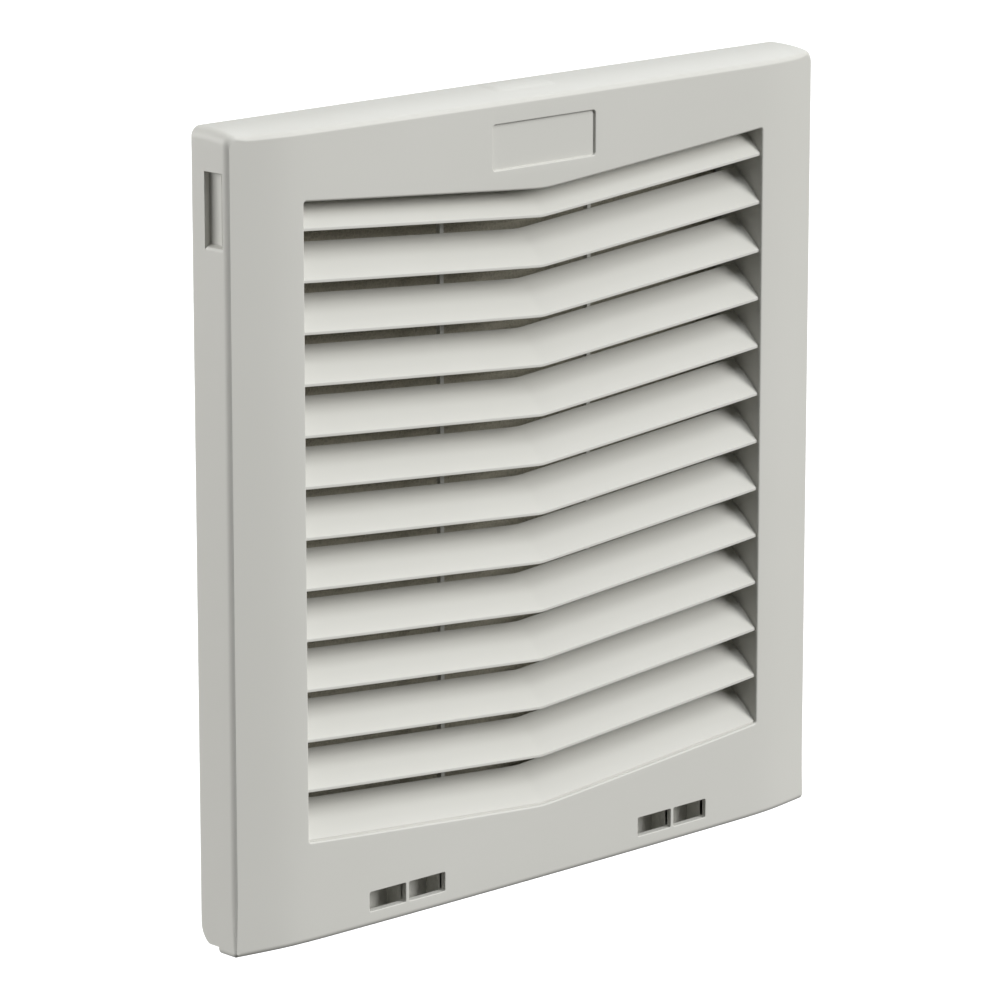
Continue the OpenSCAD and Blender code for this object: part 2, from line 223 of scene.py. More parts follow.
def opening_loop():
    r = 0.8
    xs = [-OHW + r + (2 * OHW - 2 * r) * i / 66 for i in range(67)]
    lo = [(x, -104.9 + vee(x, 3.0)) for x in xs]
    hi = [(x, 96.0 + vee(x, 3.0)) for x in reversed(xs)]
    zl, zh = lo[0][1], hi[0][1]
    left = [(-OHW, lerp(zh - r, zl + r, i / 24)) for i in range(25)]
    right = [(OHW, lerp(zl + r, zh - r, i / 24)) for i in range(25)]

    def corner(cx, cz, a0):
        return [(cx + r * math.cos(math.radians(a0 + 22.5 * k)), cz + r * math.sin(math.radians(a0 + 22.5 * k))) for k in (1, 2, 3)]
    return (lo + corner(OHW - r, zl + r, 270) + right + corner(OHW - r, zh - r, 0) + hi
            + corner(-OHW + r, zh - r, 90) + left + corner(-OHW + r, zl + r, 180))


WINS = [(43.4, 58.8), (60.2, 75.4)]
WZ = (-124.8, -118.5)


def window_loops(s):
    out = []
    for a, b in WINS:
        x0, x1 = (a, b) if s > 0 else (-b, -a)
        out.append(densify(rounded([(x0, WZ[0]), (x1, WZ[0]), (x1, WZ[1]), (x0, WZ[1])], 0.5, 3), 3.0))
    return out


# ---------------------------------------------------------------- cover shell
def cover_shell():
    m = Mesh()
    # closed outline of the cover seen from the front: point, outward normal, rear limit, weights
    S = []     # dicts: A, n, yr, wt (how much the top's slope counts), tin (inner point), rf, tag

    def yrear(z):
        if z >= HZ:
            return REAR
        return HY + math.sqrt(max(0.0, 49.0 - (z - HZ) ** 2))

    side_rows = [(-128.2, LIP, 0), (-127.9, LIP, 0), (-127.56, LIP, 0), (-127.5, None, 0), (-127.2, None, 0), (-126.6, None, 0),
                 (-125.6, None, 0), (-124.4, None, 0), (-123.0, None, 0), (-121.5, None, 0)]
    z = -112.0
    while z < 88:
        side_rows.append((z, None, 0))
        z += 12.5
    side_rows += [(90.75, None, 0), (102.0, None, 0), (114.75, None, 0), (118.0, None, 0.15), (121.0, None, 0.6), (123.9, None, 1.0)]

    def side(sx, rows):
        for z, yr, wt in rows:
            zi = max(z, BOT + TB)
            if z == 90.75:
                zi = 92.3
            if z == 114.75:
                zi = 114.5
            S.append(dict(A=(sx * HW, z), n=(sx, 0.0), yr=yrear(z) if yr is None else yr, wt=wt, P=(sx * (HW - TS), zi),
                          rf=lerp(1.5, 3.3, min(1.0, (z + 128.2) / 12)), side=1.0))

    side(-1, side_rows)
    R = 3.5
    for k in range(1, 8):
        a = math.radians(180 - 90 * k / 8)
        c, s_ = math.cos(a), math.sin(a)
        t = k / 8
        S.append(dict(A=(-HW + R + R * c, TOP - R + R * s_), n=(c, s_), yr=REAR, wt=1.0,
                      P=(-HW + R + (R - TS) * c, TOP - R + (R - TT) * s_), rf=lerp(3.3, 1.2, t), side=1 - t))
    nt = 72
    for i in range(nt + 1):
        x = lerp(-HW + R, HW - R, i / nt)
        S.append(dict(A=(x, TOP), n=(0.0, 1.0), yr=REAR, wt=1.0, P=(x, TOP - TT), rf=1.2, side=0.0))
    for k in range(1, 8):
        a = math.radians(90 - 90 * k / 8)
        c, s_ = math.cos(a), math.sin(a)
        t = 1 - k / 8
        S.append(dict(A=(HW - R + R * c, TOP - R + R * s_), n=(c, s_), yr=REAR, wt=1.0,
                      P=(HW - R + (R - TS) * c, TOP - R + (R - TT) * s_), rf=lerp(3.3, 1.2, t), side=1 - t))
    side(1, side_rows[::-1])
    r = 1.6
    for k in range(1, 5):
        a = math.radians(-90 * k / 5)
        t = k / 5
        S.append(dict(A=(HW - r + r * math.cos(a), BOT + r + r * math.sin(a)), n=(math.cos(a), math.sin(a)), yr=LIP, wt=0.0,
                      P=(HW - TS, BOT + TB), rf=lerp(1.5, 2.0, t), side=1 - t))
    for i in range(nt + 1):
        x = lerp(HW - r, -HW + r, i / nt)
        xi = max(-HW + TS, min(HW - TS, x))
        S.append(dict(A=(x, BOT), n=(0.0, -1.0), yr=LIP, wt=0.0, P=(xi, BOT + TB), rf=2.0, side=0.0))
    for k in range(1, 5):
        a = math.radians(-90 - 90 * k / 5)
        t = 1 - k / 5
        S.append(dict(A=(-HW + r + r * math.cos(a), BOT + r + r * math.sin(a)), n=(math.cos(a), math.sin(a)), yr=LIP, wt=0.0,
                      P=(-HW + TS, BOT + TB), rf=lerp(1.5, 2.0, t), side=1 - t))

    U = [0.0, 0.18, 0.385, 0.55, 0.7, 0.85, 1.0]
    rear = 4
    front = 7
    rings = [[] for _ in range(rear + len(U) + front)]
    inner = [[] for _ in range(7)]
    for q in S:
        (ax, az), (nx, nz) = q["A"], q["n"]
        fe = math.radians(90 - 45 * q["side"])
        re = lerp(0.9, 1.5, q["side"]) if q["yr"] > LIP else 0.9
        oe = q["rf"] * (1 - math.cos(fe))
        yf = face(ax - nx * oe) + q["rf"] * math.sin(fe)
        k = 0

        def put(off, y, exact=False):
            x = ax - nx * off
            d = q["wt"] * drop(x, y)
            return (x, face(x) if exact else y, az - nz * off - d)
        for j in range(rear):
            a = math.pi / 2 * j / rear
            rings[k].append(put(re * (1 - math.sin(a)), q["yr"] - re * (1 - math.cos(a))))
            k += 1
        for u in U:
            rings[k].append(put(0.0, lerp(q["yr"] - re, yf, u)))
            k += 1
        for j in range(1, front + 1):
            a = fe * j / front
            rings[k].append(put(q["rf"] * (1 - math.cos(a)), yf - q["rf"] * math.sin(a), j == front))
            k += 1
        px, pz = q["P"]
        yi = face(px) + TF
        for j in range(7):
            if q["side"] == 1.0 and 1 <= j <= 5:    # the slot's place
                y = lerp(-7.9 if q["yr"] > LIP else -10.8, -15.8, (U[j + 1] - U[2]) / (1 - U[2]))
            else:
                y = lerp(q["yr"], yi, U[j])
            inner[j].append((px, y, pz - q["wt"] * drop(px, y)))
    n = len(S)

    # slot in each side wall: between rows 90.75 and 114.75
    def slot_rows():
        rows = [i for i, q in enumerate(S) if abs(q["A"][0]) == HW and q["n"][1] == 0.0 and 90.7 < q["A"][1] < 114.8]
        left = [i for i in rows if S[i]["A"][0] < 0]
        right = [i for i in rows if S[i]["A"][0] > 0]
        return left, right
    left, right = slot_rows()
    ids = [m.add(rg) for rg in rings]
    iin = [m.add(rg) for rg in inner]
    U0 = rear + 2           # ring at y about -7.9
    U1 = rear + len(U) - 1  # ring where the front rounding starts
    for k in range(len(ids) - 1):
        a, b = ids[k], ids[k + 1]
        for i in range(n):
            j = (i + 1) % n
            if U0 <= k < U1 and ((i in left and j in left) or (i in right and j in right)):
                continue
            m.f.append((a[i], a[j], b[j], b[i]))
    for k in range(6):
        a, b = iin[k], iin[k + 1]
        for i in range(n):
            j = (i + 1) % n
            if 1 <= k <= 4 and ((i in left and j in left) or (i in right and j in right)):
                continue
            m.f.append((a[j], a[i], b[i], b[j]))
    m.strip(ids[0], iin[0], True, True)

    # walls of the slots, with a small edge and a chamfer along the bottom
    for rows in (left, right):
        sx = -1 if rows is left else 1
        o_loop = ([rings[U0][i] for i in rows] + [rings[k][rows[-1]] for k in range(U0 + 1, U1)]
                  + [rings[U1][i] for i in reversed(rows)] + [rings[k][rows[0]] for k in range(U1 - 1, U0, -1)])
        y0, y1 = max(p[1] for p in o_loop), min(p[1] for p in o_loop)
        za, zc = min(p[2] for p in o_loop), max(p[2] for p in o_loop)

        def shape(p, d, e0, e1, zb, zt):
            return (sx * (HW - d), lerp(e0, e1, (p[1] - y0) / (y1 - y0)), lerp(zb, zt, (p[2] - za) / (zc - za)))
        mid1 = [shape(p, 0.12, y0 - 0.05, y1 + 0.1, za + 0.3, zc - 0.15) for p in o_loop]
        mid2 = [shape(p, 0.5, y0 - 0.18, y1 + 0.25, za + 0.9, zc - 0.25) for p in o_loop]
        i_loop = ([inner[1][i] for i in rows] + [inner[k][rows[-1]] for k in range(2, 5)]
                  + [inner[5][i] for i in reversed(rows)] + [inner[k][rows[0]] for k in range(4, 1, -1)])
        m.loops([o_loop, mid1, mid2, i_loop], True)

    # front face with its openings
    op = opening_loop()
    pr = rounded([(-22.3, 104.0), (22.3, 104.0), (22.3, 118.35), (-22.3, 118.35)], 1.0, 4)
    pr = densify(pr, 3.0)
    wins = window_loops(-1) + window_loops(1)
    RO, RW, RP = 0.7, 0.3, 0.45
    holes = [offset(op, RO), offset(pr, RP)] + [offset(w, RW) for w in wins]
    outer_loop = [(p[0], p[2]) for p in rings[-1]]
    m.fill(outer_loop, holes, lambda x, z: (x, face(x), z), dx=4.0, dz=8.0)

    def rim(loop, rr, steps):
        out = []
        for j in range(steps + 1):
            a = math.pi / 2 * j / steps
            o = offset(loop, rr * (1 - math.sin(a)))
            out.append([(x, face(x) + rr * (1 - math.cos(a)), z) for x, z in o])
        return out

    # louvre opening: rounded edge, wall to the back, rim, outside of that wall, inner face
    rr = rim(op, RO, 5)
    rr.append([(x, lerp(face(x) + RO, INNER + 0.2, 0.5), z) for x, z in op])
    rr.append([(x, INNER - 0.3, z) for x, z in op])
    rr.append([(x, INNER, z) for x, z in offset(op, 0.3)])
    g = offset(op, 2.4)
    rr.append([(x, INNER, z) for x, z in offset(op, 2.1)])
    rr.append([(x, INNER - 0.3, z) for x, z in g])
    rr.append([(x, face(x) + TF, z) for x, z in g])
    m.loops(rr, True)
    # name-plate recess, bare
    rp = rim(pr, RP, 3)
    m.loops(rp + [[(x, face(x) + 0.65, z) for x, z in pr], [(x, face(x) + 0.8, z) for x, z in offset(pr, -0.15)]], True)
    m.fill(offset(pr, -0.15), [], lambda x, z: (x, face(x) + 0.8, z), dx=4.0, dz=4.0)
    # hinge windows
    inner_holes = [g]
    for w in wins:
        m.loops(rim(w, RW, 3) + [[(x, face(x) + TF, z) for x, z in w]], True)
        inner_holes.append(w)
    m.fill([(p[0], p[2]) for p in inner[6]], inner_holes, lambda x, z: (x, face(x) + TF, z), dx=6.0, dz=12.0)
    return m.obj("cover_shell", angle=32)


def blades():
    m = Mesh()
    # section from the tip: front edge with two small roundings, upper side to the back, lower side to the front
    top = [(0.16, 1.1), (1.2, 2.2), (2.4, 3.4), (3.7, 4.66), (5.0, 5.88), (6.4, 7.14), (7.8, 8.34), (9.3, 9.53), (11.15, 10.92)]
    low = [(12.15, 9.47), (10.5, 8.25), (8.9, 6.98), (7.5, 5.75), (6.2, 4.5), (3.9, 2.3), (1.65, 0.08)]
    sec = ([(0.0, 0.84), (0.05, 0.98)] + top + [(11.45, 10.98), (12.28, 9.68)] + low + [(1.45, 0.0), (0.16, 0.0), (0.04, 0.06), (0.0, 0.2)])
    xs = [-OHW - 0.9]
    while xs[-1] < -12:
        xs.append(xs[-1] + 3.4)
    xs = [x for x in xs if x < -12.5] + [-12, -9, -6, -3, -1.6, -0.8, 0]
    xs = xs + [-x for x in reversed(xs[:-1])]
    for k in range(NL):
        rings = []
        for x in xs:
            y0, z0 = face(x) + 1.0, Z0 - PITCH * k + vee(x, 1.0)
            rings.append([(x, min(y0 + a, INNER), z0 + b) for a, b in sec])
        ids = m.loops(rings, True)
        m.f.append(tuple(ids[0]))
        m.f.append(tuple(reversed(ids[-1])))
    # upright ribs behind the louvres
    for s in (-1, 1):
        m.box(s * 32.3 - 0.8, s * 32.3 + 0.8, -10.3, -8.6, -103.6, 99.8)
    return m.obj("cover_louvres", angle=35)


def ring_x(m, s, x0, x1, y, z, r, rb, n=40):
    """Tube along X."""
    def circ(x, rad):
        return [(x, y + rad * math.cos(2 * math.pi * i / n), z + rad * math.sin(2 * math.pi * i / n)) for i in range(n)]
    c = 0.25
    m.loops([circ(x0, rb + c), circ(x0, r - c), circ(x0 + c, r), circ(x1 - c, r), circ(x1, r - c), circ(x1, rb + c), circ(x1 - c, rb), circ(x0 + c, rb), circ(x0, rb + c)], True)


def cover_insides():
    m = Mesh()
    for s in (-1, 1):
        def sb(a0, a1, y0, y1, z0, z1):
            m.box(min(s * a0, s * a1), max(s * a0, s * a1), y0, y1, z0, z1)
        for z in (-60, 0, 60):
            sb(OHW + 1, HW - 1.2, EDGE + 1.9, -8, z - 0.8, z + 0.8)
        sb(33 - 0.8, 33 + 0.8, -21.5, -8, 99.5, 123.5)
        sb(HW - TS - 2, HW - 1.2, -6.7, -5.2, 93, 112)
        # pockets behind the hinge windows, floored by the lip
        for a in (42.0, 58.8, 75.4):
            sb(a, a + 1.4, -21.5, -12.95, -128.2, -117.05)
        sb(42.05, 76.75, -21.5, -13.0, WZ[1], -117.0)
        sb(42.05, 76.75, -14.1, -12.9, -128.2, -117.1)
        for a in (49, 58.8, 68.6):
            sb(a, a + 1.4, -13.5, HY - 2, HZ - 3.3, HZ + 3.3)
        sb(49, 70, -17, -8, -118.6, -117.05)
        ring_x(m, s, s * 59.5 - 10.5, s * 59.5 + 10.5, HY, HZ, 3.5, 1.575)
    o = m.obj("cover_ribs_and_knuckles", angle=30, weighted=False)
    b = o.modifiers.new("edges", "BEVEL")
    b.width, b.segments, b.limit_method, b.angle_limit = 0.0002, 2, "ANGLE", math.radians(50)
    w = o.modifiers.new("weighted", "WEIGHTED_NORMAL")
    w.keep_sharp = True
    return o


def top_pad():
    """Low crowned grip pad on the top edge, with soft sides."""
    m = Mesh()
    plan = densify(rounded([(-14.4, -16.9), (14.4, -16.9), (12.4, -2.7), (-12.4, -2.7)], 4.0, 8), 1.2)

    def zt(x, y):
        return TOP - drop(x, y)

    def rise(x, y, d):
        k = min(d / 3.5, 1.0)
        full = 0.36 + drop(x, y) if y > -10 else lerp(0.36 + drop(x, -10), 0.1, (y + 10) / -6.9)
        return -0.03 + k * k * (3 - 2 * k) * (full + 0.03)
    rings = [[(x, y, zt(x, y) - 1.2) for x, y in offset(plan, -1.0)], [(x, y, zt(x, y) - 0.5) for x, y in plan]]
    for d in (0.0, 0.4, 0.8, 1.2, 1.7, 2.2, 2.7, 3.2, 3.5):
        rings.append([(x, y, zt(x, y) + rise(x, y, d)) for x, y in offset(plan, -d)])
    m.loops(rings, True)
    m.fill(offset(plan, -3.5), [], lambda x, y: (x, y, zt(x, y) + rise(x, y, 3.5)), dx=3.0, dz=1.5, gap=0.5)
    m.fill(offset(plan, -1.0), [], lambda x, y: (x, y, zt(x, y) - 1.2), dx=3.0, dz=3.0)
    return m.obj("cover_top_pad", angle=50)


def latch(s):
    """Scooped thumb plate in the side slot, with its stem."""
    m = Mesh()
    out = [(122.0, -15.6), (122.6, -15.6), (122.8, -15.5), (124.85, -13.6), (125.1, -13.2), (125.02, -12.2), (124.92, -11.2), (124.9, -10.2),
           (125.0, -9.3), (125.2, -8.6), (125.36, -8.15), (125.42, -7.8), (125.42, -6.97), (125.3, -6.84), (122.0, -6.84)]
    rings = []
    for z, d in ((90.0, 0.3), (90.3, 0.0), (94.0, 0.0), (98.5, 0.0), (103.0, 0.0), (107.5, 0.0), (111.5, 0.0), (115.2, 0.0), (115.5, 0.3)):
        rings.append([(s * (x - d if x > 122.5 else x), y + (d if y < -15 else -d if y > -7.5 else 0.0), z) for x, y in out])
    ids = m.loops(rings, True)
    m.f.append(tuple(ids[0]))
    m.f.append(tuple(reversed(ids[-1])))
    m.box(min(s * 114, s * 122.1), max(s * 114, s * 122.1), -14, -5.2, 96, 110)
    return m.obj("latch_plate_" + ("left" if s < 0 else "right"), angle=32)


def helix(m, r, wire, length, turns, place):
    """Coil spring with closed ends; place(u, v, w) puts a point, u along the coil's axis."""
    n, k = 24 * turns, 8
    rings = []
    for i in range(n + 1):
        t = i / n
        a = 2 * math.pi * turns * t
        c = Vector((lerp(wire, length - wire, min(max((t - 0.09) / 0.82, 0.0), 1.0)), r * math.cos(a), r * math.sin(a)))
        rad = Vector((0.0, math.cos(a), math.sin(a)))
        b = Vector((length / (turns * 2 * math.pi), -r * math.sin(a), r * math.cos(a))).normalized().cross(rad).normalized()
        rings.append([place(*(c + (rad * math.cos(2 * math.pi * j / k) + b * math.sin(2 * math.pi * j / k)) * wire)) for j in range(k)])
    ids = m.loops(rings, True)
    m.f.append(tuple(ids[0]))
    m.f.append(tuple(reversed(ids[-1])))


def latch_coil(s, side):
    m = Mesh()
    helix(m, 2.2, 0.35, 5.4, 5, lambda u, v, w: (s * (108.5 + u), -9.6 + v, 103.0 + w))
    return m.obj("latch_coil_" + side, angle=60, weighted=False)


def clip_coils():
    m = Mesh()
    for s in (-1, 1):
        for zc in (-62.0, 62.0):
            helix(m, 1.6, 0.35, 4.15, 4, lambda u, v, w: (s * 108.0 + v, 14.0 + w, zc - 2.1 + u))
    return m.obj("clip_coils", angle=60, weighted=False)


def gasket():
    """Foam cord laid in the groove of the flange, with soft edges and a slightly uneven face."""
    m = Mesh()
    base = densify(rounded([(-115.1, -115.1), (115.1, -115.1), (115.1, 115.1), (-115.1, 115.1)], 3.4, 8), 2.2)
    sec = [(-2.28, -0.7), (-2.28, -2.5), (-2.1, -2.85), (-1.7, -2.98), (1.7, -2.98), (2.1, -2.85), (2.28, -2.5), (2.28, -0.7),
           (2.15, -0.36), (1.8, -0.14), (1.1, -0.04), (0.0, -0.01), (-1.1, -0.04), (-1.8, -0.14), (-2.15, -0.36)]
    ids = []
    for d, y in sec:
        ring = [(x, y - (0.0 if y < -0.5 else 0.05 * (1 + math.sin(x * 0.61 + d) * math.sin(z * 0.47 - d))), z) for x, z in offset(base, d)]
        ids.append(m.add(ring))
    for a, b in zip(ids, ids[1:] + ids[:1]):
        m.strip(a, b)
    return m.obj("gasket_cord", angle=60, weighted=False)


shell = cover_shell()
louvres = blades()
insides = cover_insides()
pad = top_pad()
cover_parts = [shell, louvres, insides, pad]
for o in cover_parts:
    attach(o, "cover")
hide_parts("louvre_cover")
plates, springs = [], []
for s, side in ((-1, "left"), (1, "right")):
    o = latch(s)
    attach(o, "latch_" + side)
    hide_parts("side_latch_" + side)
    plates.append(o)
    o = latch_coil(s, side)
    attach(o, "base")
    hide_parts("latch_spring_" + side)
    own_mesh(o)
    springs.append(o)
o = clip_coils()
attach(o, "base")
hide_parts("clip_springs")
springs.append(o)


# ---------------------------------------------------------------- materials
def nodes_of(name):
    mat = bpy.data.materials.new(name)
    mat.use_nodes = True
    nt = mat.node_tree
    return mat, nt, nt.nodes["Principled BSDF"]


def plastic(name, col, rough, grain=0.05, vary=0.012, scale=5200.0):
    mat, nt, p = nodes_of(name)
    N, L = nt.nodes, nt.links
    tc = N.new("ShaderNodeTexCoord")
    big = N.new("ShaderNodeTexNoise")
    big.inputs["Scale"].default_value = 14.0
    big.inputs["Detail"].default_value = 3.0
    fine = N.new("ShaderNodeTexNoise")
    fine.inputs["Scale"].default_value = scale
    fine.inputs["Detail"].default_value = 2.0
    L.new(tc.outputs["Object"], big.inputs["Vector"])
    L.new(tc.outputs["Object"], fine.inputs["Vector"])
    ramp = N.new("ShaderNodeValToRGB")
    ramp.color_ramp.elements[0].position, ramp.color_ramp.elements[1].position = 0.3, 0.7
    ramp.color_ramp.elements[0].color = (col[0] * (1 - vary), col[1] * (1 - vary), col[2] * (1 - vary * 1.3), 1)
    ramp.color_ramp.elements[1].color = (col[0] * (1 + vary), col[1] * (1 + vary), col[2] * (1 + vary), 1)
    L.new(big.outputs["Fac"], ramp.inputs["Fac"])
    L.new(ramp.outputs["Color"], p.inputs["Base Color"])
    rr = N.new("ShaderNodeMapRange")
    rr.inputs["To Min"].default_value, rr.inputs["To Max"].default_value = rough - 0.05, rough + 0.05
    L.new(fine.outputs["Fac"], rr.inputs["Value"])
    L.new(rr.outputs["Result"], p.inputs["Roughness"])
    bump = N.new("ShaderNodeBump")
    bump.inputs["Strength"].default_value = grain
    bump.inputs["Distance"].default_value = 0.0001
    L.new(fine.outputs["Fac"], bump.inputs["Height"])
    L.new(bump.outputs["Normal"], p.inputs["Normal"])
    p.inputs["Specular IOR Level"].default_value = 0.4
    return mat


def steel(name, col=(0.62, 0.63, 0.64), rough=0.3):
    mat, nt, p = nodes_of(name)
    N, L = nt.nodes, nt.links
    tc = N.new("ShaderNodeTexCoord")
    ns = N.new("ShaderNodeTexNoise")
    ns.inputs["Scale"].default_value = 900.0
    ns.inputs["Detail"].default_value = 4.0
    L.new(tc.outputs["Object"], ns.inputs["Vector"])
    ramp = N.new("ShaderNodeValToRGB")
    ramp.color_ramp.elements[0].color = (col[0] * 0.8, col[1] * 0.8, col[2] * 0.8, 1)
    ramp.color_ramp.elements[1].color = (*col, 1)
    L.new(ns.outputs["Fac"], ramp.inputs["Fac"])
    L.new(ramp.outputs["Color"], p.inputs["Base Color"])
    rr = N.new("ShaderNodeMapRange")
    rr.inputs["To Min"].default_value, rr.inputs["To Max"].default_value = rough - 0.08, rough + 0.12
    L.new(ns.outputs["Fac"], rr.inputs["Value"])
    L.new(rr.outputs["Result"], p.inputs["Roughness"])
    p.inputs["Metallic"].default_value = 1.0
    return mat


def fibre(name, col, scale=1.0):
    mat, nt, p = nodes_of(name)
    N, L = nt.nodes, nt.links
    tc = N.new("ShaderNodeTexCoord")
    warp = N.new("ShaderNodeTexNoise")
    warp.inputs["Scale"].default_value = 260.0 * scale
    warp.inputs["Detail"].default_value = 3.0
    L.new(tc.outputs["Object"], warp.inputs["Vector"])
    mix = N.new("ShaderNodeVectorMath")
    mix.operation = "MULTIPLY_ADD"
    mix.inputs[1].default_value = (0.004, 0.004, 0.004)
    L.new(warp.outputs["Color"], mix.inputs[0])
    L.new(tc.outputs["Object"], mix.inputs[2])
    w1 = N.new("ShaderNodeTexVoronoi")
    w1.feature = "DISTANCE_TO_EDGE"
    w1.inputs["Scale"].default_value = 700.0 * scale
    L.new(mix.outputs["Vector"], w1.inputs["Vector"])
    w2 = N.new("ShaderNodeTexNoise")
    w2.inputs["Scale"].default_value = 90.0 * scale
    w2.inputs["Detail"].default_value = 6.0
    L.new(tc.outputs["Object"], w2.inputs["Vector"])
    ramp = N.new("ShaderNodeValToRGB")
    ramp.color_ramp.elements[0].position, ramp.color_ramp.elements[1].position = 0.0, 0.25
    ramp.color_ramp.elements[0].color = (*col, 1)
    ramp.color_ramp.elements[1].color = (col[0] * 0.84, col[1] * 0.84, col[2] * 0.83, 1)
    L.new(w1.outputs["Distance"], ramp.inputs["Fac"])
    shade = N.new("ShaderNodeMix")
    shade.data_type = "RGBA"
    shade.blend_type = "MULTIPLY"
    shade.inputs["Factor"].default_value = 0.4
    L.new(ramp.outputs["Color"], shade.inputs["A"])
    cr = N.new("ShaderNodeValToRGB")
    cr.color_ramp.elements[0].position, cr.color_ramp.elements[1].position = 0.35, 0.7
    cr.color_ramp.elements[0].color = (0.72, 0.72, 0.7, 1)
    cr.color_ramp.elements[1].color = (1, 1, 1, 1)
    L.new(w2.outputs["Fac"], cr.inputs["Fac"])
    L.new(cr.outputs["Color"], shade.inputs["B"])
    L.new(shade.outputs["Result"], p.inputs["Base Color"])
    p.inputs["Roughness"].default_value = 0.95
    p.inputs["Specular IOR Level"].default_value = 0.1
    p.inputs["Sheen Weight"].default_value = 0.15
    bump = N.new("ShaderNodeBump")
    bump.inputs["Strength"].default_value = 0.6
    bump.inputs["Distance"].default_value = 0.0006
    L.new(w1.outputs["Distance"], bump.inputs["Height"])
    L.new(bump.outputs["Normal"], p.inputs["Normal"])
    return mat


def foam(name, col):
    mat, nt, p = nodes_of(name)
    N, L = nt.nodes, nt.links
    tc = N.new("ShaderNodeTexCoord")
    v = N.new("ShaderNodeTexVoronoi")
    v.inputs["Scale"].default_value = 2500.0
    L.new(tc.outputs["Object"], v.inputs["Vector"])
    ramp = N.new("ShaderNodeValToRGB")
    ramp.color_ramp.elements[0].color = (col[0] * 0.4, col[1] * 0.4, col[2] * 0.4, 1)
    ramp.color_ramp.elements[1].color = (col[0] * 1.6, col[1] * 1.6, col[2] * 1.6, 1)
    L.new(v.outputs["Distance"], ramp.inputs["Fac"])
    L.new(ramp.outputs["Color"], p.inputs["Base Color"])
    p.inputs["Roughness"].default_value = 0.9
    bump = N.new("ShaderNodeBump")
    bump.inputs["Strength"].default_value = 0.5
    bump.inputs["Distance"].default_value = 0.0003
    L.new(v.outputs["Distance"], bump.inputs["Height"])
    L.new(bump.outputs["Normal"], p.inputs["Normal"])
    return mat


M_COVER = plastic("cover_abs", (0.60, 0.595, 0.555), 0.5)
M_FRAME = plastic("frame_abs", (0.52, 0.52, 0.49), 0.5, grain=0.08)
M_CLIP = plastic("clip_plastic", (0.045, 0.045, 0.045), 0.45, grain=0.1, vary=0.1)
M_STEEL = steel("zinc_steel")
M_SPRING = steel("spring_steel", (0.5, 0.5, 0.5), 0.35)
# Mat colour: painted shade. The olive-beige is darker than the mat's own colour and stands in for the shadow seen
# between the louvres; the multiply mix named shade in fibre() darkens it further in random blotches.
M_MAT = fibre("mat_fibre", (0.50, 0.47, 0.39))
M_GASKET = foam("gasket_foam", (0.035, 0.035, 0.035))

for o in cover_parts + plates:
    o.data.materials.append(M_COVER)
for o in springs:
    o.data.materials.append(M_SPRING)
by_node = {
    "base_frame": M_FRAME, "guard_basket": M_FRAME, "latch_keeper_left": M_FRAME, "latch_keeper_right": M_FRAME,
    "side_latch_left": M_COVER, "side_latch_right": M_COVER, "louvre_cover": M_COVER,
    "snap_clip_upper_left": M_CLIP, "snap_clip_lower_left": M_CLIP, "snap_clip_upper_right": M_CLIP, "snap_clip_lower_right": M_CLIP,
    "basket_screws": M_STEEL, "keeper_screws": M_STEEL, "hinge_pin_left": M_STEEL, "hinge_pin_right": M_STEEL,
    "mat_retaining_wires": M_STEEL, "clip_pins": M_STEEL, "clip_springs": M_SPRING,
    "latch_spring_left": M_SPRING, "latch_spring_right": M_SPRING, "filter_mat": M_MAT, "panel_gasket": M_GASKET,
}
for name, mat in by_node.items():
    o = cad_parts[name]
    for sl in o.material_slots:
        sl.material = mat


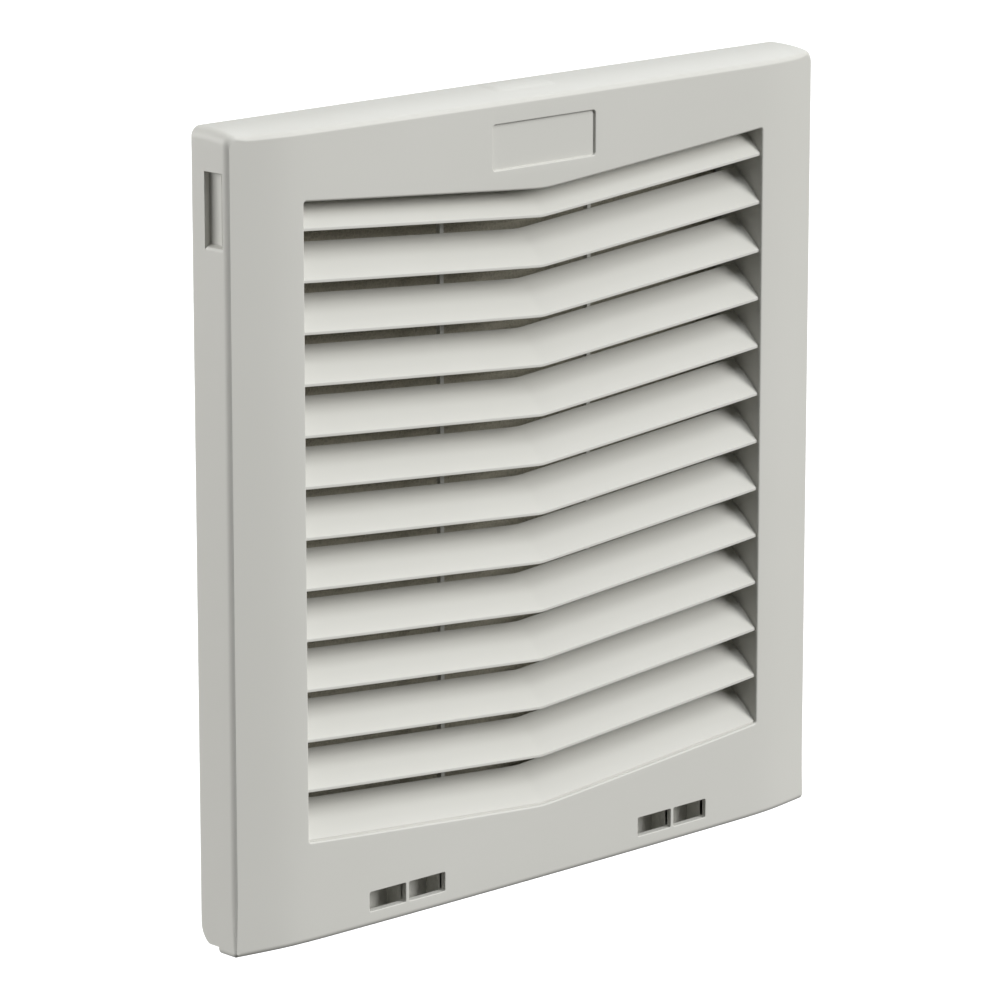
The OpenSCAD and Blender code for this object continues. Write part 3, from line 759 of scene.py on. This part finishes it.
# ---------------------------------------------------------------- filter mat
def soft_mat():
    """A crowned, slightly lumpy pad that bulges into the rear grid and sinks under the two wires."""
    w, h = 102.2, 105.5
    y0, y1 = 0.45, 14.9
    nx, nz = 110, 114
    m = Mesh()

    def lump(x, z, k):
        return (math.sin(x * 0.21 + k) * math.sin(z * 0.17 + 2 * k) + 0.6 * math.sin(x * 0.53 + 1.3 * k) * math.sin(z * 0.47 - k)) / 1.6

    def edge(x, z):
        e = min(w - abs(x), h - abs(z))
        return 1 - max(0.0, 1 - e / 5.0) ** 2

    def fr(x, z):
        y = y0 + 0.9 * (1 - edge(x, z)) + 0.18 * (1 - lump(x, z, 0.7))
        for zw in (-53.5, 58.5):
            y = max(y, 0.3 + 0.55 - abs(z - zw) * 0.18) if abs(z - zw) < 4 else y
        return y

    def bk(x, z):
        y = y1 - 0.9 * (1 - edge(x, z)) - 0.2 * (1 - lump(x, z, 2.1))
        return y
    front, back = [], []
    for j in range(nz + 1):
        front.append([])
        back.append([])
        for i in range(nx + 1):
            x = w * math.sin((i / nx - 0.5) * math.pi * 0.985) / math.sin(0.5 * math.pi * 0.985)
            z = h * math.sin((j / nz - 0.5) * math.pi * 0.985) / math.sin(0.5 * math.pi * 0.985)
            front[-1].append((x, fr(x, z), z))
            back[-1].append((x, bk(x, z), z))
    fi = [m.add(r) for r in front]
    bi = [m.add(r) for r in back]
    for j in range(nz):
        for i in range(nx):
            m.f.append((fi[j][i], fi[j][i + 1], fi[j + 1][i + 1], fi[j + 1][i]))
            m.f.append((bi[j][i], bi[j + 1][i], bi[j + 1][i + 1], bi[j][i + 1]))
    border = ([(0, i) for i in range(nx)] + [(j, nx) for j in range(nz)] + [(nz, i) for i in range(nx, 0, -1)] + [(j, 0) for j in range(nz, 0, -1)])
    rings = []
    for t in (0.0, 0.25, 0.5, 0.75, 1.0):
        ring = []
        for j, i in border:
            a, b = front[j][i], back[j][i]
            k = 1 - 0.006 * math.sin(math.pi * t) + 0.0015 * math.sin(a[0] * 0.3 + a[2] * 0.27)
            k = min(k, 1.0)
            ring.append((a[0] * k, lerp(a[1], b[1], t), a[2] * k))
        rings.append(ring)
    rings[0] = [front[j][i] for j, i in border]
    rings[-1] = [back[j][i] for j, i in border]
    m.loops(rings, True, True)
    return m.obj("filter_mat_pad", angle=60, weighted=False)


pad_mat = soft_mat()
pad_mat.data.materials.append(M_MAT)
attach(pad_mat, "base")
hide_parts("filter_mat")
cord = gasket()
cord.data.materials.append(M_GASKET)
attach(cord, "base")
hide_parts("panel_gasket")


# ---------------------------------------------------------------- light, floor, camera
def floor_sheet():
    m = Mesh()
    xs = [-12000 + 1500 * i for i in range(17)]
    m.loops([[(x, y, -400.0) for y in xs] for x in xs], False)
    return m.obj("floor", angle=60, weighted=False)


floor = floor_sheet()
fm, nt, p = nodes_of("floor_paint")
N, L = nt.nodes, nt.links
tc = N.new("ShaderNodeTexCoord")
ns = N.new("ShaderNodeTexNoise")
ns.inputs["Scale"].default_value = 3.0
L.new(tc.outputs["Object"], ns.inputs["Vector"])
rp = N.new("ShaderNodeValToRGB")
rp.color_ramp.elements[0].color = (0.90, 0.90, 0.90, 1)
rp.color_ramp.elements[1].color = (0.93, 0.93, 0.93, 1)
L.new(ns.outputs["Fac"], rp.inputs["Fac"])
L.new(rp.outputs["Color"], p.inputs["Base Color"])
p.inputs["Roughness"].default_value = 0.9
p.inputs["Emission Color"].default_value = (1, 1, 1, 1)
p.inputs["Emission Strength"].default_value = 0.25
floor.data.materials.append(fm)
floor.visible_diffuse = False
floor.visible_glossy = False

world = bpy.data.worlds.new("studio")
bpy.context.scene.world = world
world.use_nodes = True
world.node_tree.nodes["Background"].inputs["Color"].default_value = (1, 1, 1, 1)
world.node_tree.nodes["Background"].inputs["Strength"].default_value = 0.08


def sun(name, az, el, power, spread, tint=(1.0, 1.0, 1.0)):
    """A broad, far light: az is measured from -Y towards +X, el upwards, both in degrees."""
    d = bpy.data.lights.new(name, "SUN")
    d.energy = power * math.pi
    d.angle = math.radians(spread)
    d.color = tint
    o = bpy.data.objects.new(name, d)
    bpy.context.scene.collection.objects.link(o)
    a_, e_ = math.radians(az), math.radians(el)
    to = Vector((math.sin(a_) * math.cos(e_), -math.cos(a_) * math.cos(e_), math.sin(e_)))
    o.location = to * 2.0
    o.rotation_euler = to.to_track_quat("Z", "Y").to_euler()
    return o


sun("light_key", 35, 22, 0.82, 30)
sun("light_upper", 8, 54, 0.37, 30, (0.97, 0.985, 1.0))
sun("light_top", 0, 88, 0.06, 60, (0.92, 0.96, 1.0))
sun("light_right", 90, 54, 0.18, 30)
sun("light_left", -128, 5, 1.35, 60)
sun("light_back", 120, 30, 0.15, 30, (0.92, 0.96, 1.0))

cam_d = bpy.data.cameras.new("camera")
cam_d.lens = 194.96
cam_d.sensor_width = 36.0
cam_d.clip_start = 0.05
cam = bpy.data.objects.new("camera", cam_d)
bpy.context.scene.collection.objects.link(cam)
A, E = math.radians(43.782), math.radians(13.147)
back = Vector((-math.sin(A) * math.cos(E), -math.cos(A) * math.cos(E), math.sin(E)))
cam.location = (-1.16933, -1.22302, 0.38697)
cam.rotation_euler = back.to_track_quat("Z", "Y").to_euler()
bpy.context.scene.camera = cam
bpy.context.scene.view_settings.view_transform = "Standard"
